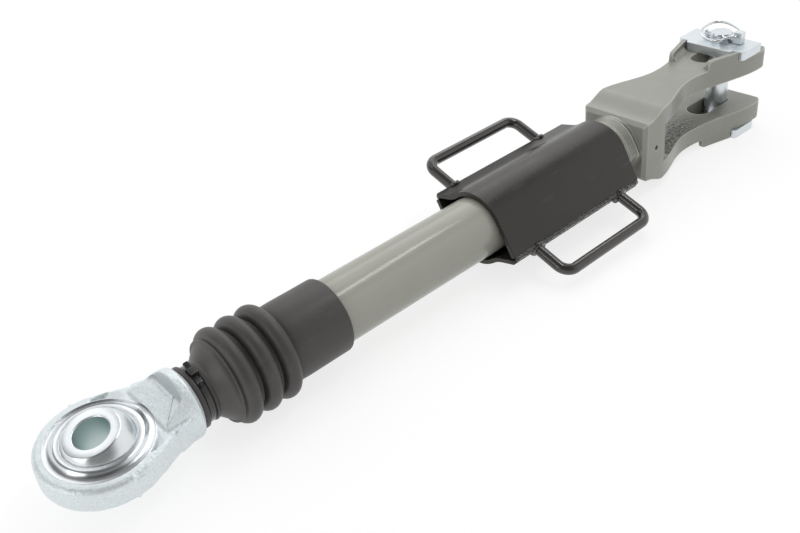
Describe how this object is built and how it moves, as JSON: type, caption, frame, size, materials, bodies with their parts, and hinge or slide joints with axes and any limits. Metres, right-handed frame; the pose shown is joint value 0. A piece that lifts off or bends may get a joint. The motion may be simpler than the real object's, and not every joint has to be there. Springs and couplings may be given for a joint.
{
  "type": "tractor lift rod",
  "caption": "Adjustable tractor lift rod with swivel ball eye, rubber boot, threaded turning tube, sliding handle sleeve and slotted clevis fork with pin.",
  "frame": {"origin": "centre of the swivel ball in the eye", "axes": "+X along the rod from the eye to the fork, +Z along the clevis pin towards its linch pin"},
  "size_m": [0.8765, 0.18, 0.1171],
  "materials": {
    "fork_paint": "worn olive grey paint on a forging",
    "tube_paint": "olive grey paint",
    "nut_paint": "olive grey paint",
    "sleeve_black": "satin black on pressed plate",
    "handle_black": "satin black on rod",
    "weld_black": "satin black over weld beads",
    "thread_steel": "oiled rolled thread",
    "bush_steel": "machined",
    "lock_pin_steel": "dull spring steel",
    "pin_zinc": "bright zinc plate",
    "plate_zinc": "bright zinc plate",
    "linch_zinc": "bright zinc plate",
    "ring_zinc": "bright zinc plated wire",
    "eye_zinc": "zinc plated forging with turned faces",
    "ball_steel": "polished",
    "boot_rubber": "matt dark grey",
    "tie_nylon": "black nylon"
  },
  "bodies": {
    "fork": {"fork_forging": "fork_paint", "fork_spindle": "thread_steel", "spindle_lock_pin": "lock_pin_steel", "clevis_pin": "pin_zinc", "lower_key_plate": "plate_zinc", "upper_key_plate": "plate_zinc", "linch_pin": "linch_zinc"},
    "linch_ring": {"linch_ring": "ring_zinc"},
    "boot": {"rubber_boot": "boot_rubber"},
    "tube": {"barrel_tube": "tube_paint", "tube_shaped_nut": "nut_paint", "tube_thread_bush": "bush_steel"},
    "sleeve": {"sleeve_upper_shell": "sleeve_black", "sleeve_lower_shell": "sleeve_black", "right_seam_weld": "weld_black", "left_seam_weld": "weld_black", "right_handle": "handle_black", "left_handle": "handle_black", "right_handle_welds": "weld_black", "left_handle_welds": "weld_black"},
    "eye": {"ball_eye": "eye_zinc", "boot_cable_tie": "tie_nylon"},
    "ball": {"swivel_ball": "ball_steel"}
  },
  "joints": [
    {"name": "boot_slide", "type": "slide", "parent": "fork", "child": "boot", "axis": [-1, 0, 0], "range_m": [0, 0.075]},
    {"name": "tube_turn", "type": "hinge", "parent": "boot", "child": "tube", "pos_m": [0.3, 0, 0], "axis": [1, 0, 0], "range_deg": [0, 9000]},
    {"name": "eye_slide", "type": "slide", "parent": "boot", "child": "eye", "axis": [-1, 0, 0], "range_m": [0, 0.075], "deforming": ["rubber_boot"]},
    {"name": "sleeve_slide", "type": "slide", "parent": "tube", "child": "sleeve", "axis": [1, 0, 0], "range_m": [-0.045, 0.022]},
    {"name": "ball_swivel", "type": "hinge", "parent": "eye", "child": "ball", "pos_m": [0, 0, 0], "axis": [0, 0.9945, 0.1045], "range_deg": [-6, 28]},
    {"name": "linch_ring_flip", "type": "hinge", "parent": "fork", "child": "linch_ring", "pos_m": [0.794, -0.022, 0.0611], "axis": [1, 0, 0], "range_deg": [0, 170]}
  ],
  "couplings": [
    {"joint": "boot_slide", "follows": "tube_turn", "m_per_rad": 0.00047746},
    {"joint": "eye_slide", "follows": "tube_turn", "m_per_rad": 0.00047746}
  ]
}
